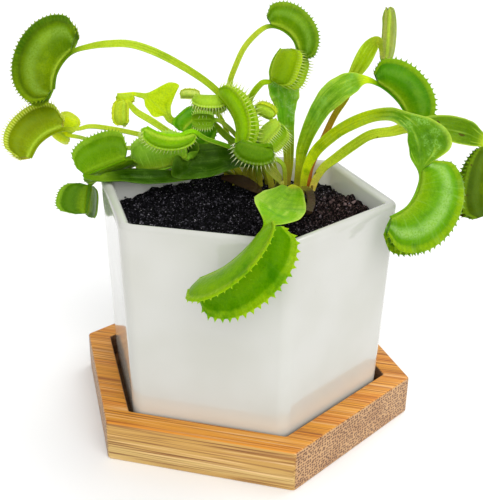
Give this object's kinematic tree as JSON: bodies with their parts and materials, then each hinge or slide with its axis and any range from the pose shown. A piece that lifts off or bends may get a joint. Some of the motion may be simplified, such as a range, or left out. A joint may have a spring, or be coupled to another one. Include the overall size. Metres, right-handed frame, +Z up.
{
  "type": "potted venus flytrap",
  "caption": "Venus flytrap with toothed two-lobed traps on arching leaf stalks, growing from peat in a white hexagonal cup that stands on a hexagonal bamboo saucer.",
  "frame": {"origin": "centre of the saucer's underside", "axes": "+Z up; +X along the saucer's row of opposite corners, to the viewer's right in the picture; the picture's viewer stands on the -Y side, turned a little towards +X"},
  "size_m": [0.1349, 0.1006, 0.1122],
  "materials": {
    "bamboo": "satin",
    "glaze": "gloss",
    "peat": "matte",
    "leaf_green": "satin",
    "leaf_bright": "satin",
    "leaf_yellow": "satin",
    "leaf_dark": "satin",
    "leaf_withered": "matte"
  },
  "bodies": {
    "root": {"saucer": "bamboo", "pot": "glaze", "soil": "peat", "leaf_far_left": "leaf_green", "leaf_left_yellow": "leaf_yellow", "leaf_left_small": "leaf_yellow", "leaf_rim_green": "leaf_green", "leaf_rim_low": "leaf_dark", "leaf_broad_dark": "leaf_dark", "leaf_crescent_low": "leaf_bright", "leaf_small_ciliated": "leaf_bright", "leaf_round_bright": "leaf_green", "leaf_pale_cilia": "leaf_bright", "leaf_back_yellow": "leaf_yellow", "leaf_back_strip": "leaf_bright", "leaf_crescent_up": "leaf_bright", "leaf_mid_light": "leaf_bright", "leaf_mid_green": "leaf_green", "leaf_top": "leaf_bright", "leaf_top_yellow": "leaf_bright", "leaf_wavy": "leaf_dark", "leaf_right_up": "leaf_green", "leaf_right_hook": "leaf_green", "leaf_right_edge": "leaf_green", "leaf_tall_bud": "leaf_yellow", "leaf_front": "leaf_bright", "leaf_back_flat": "leaf_yellow", "leaf_behind_mid": "leaf_yellow", "withered_leaf": "leaf_withered", "withered_stalk": "leaf_withered"}
  },
  "joints": []
}
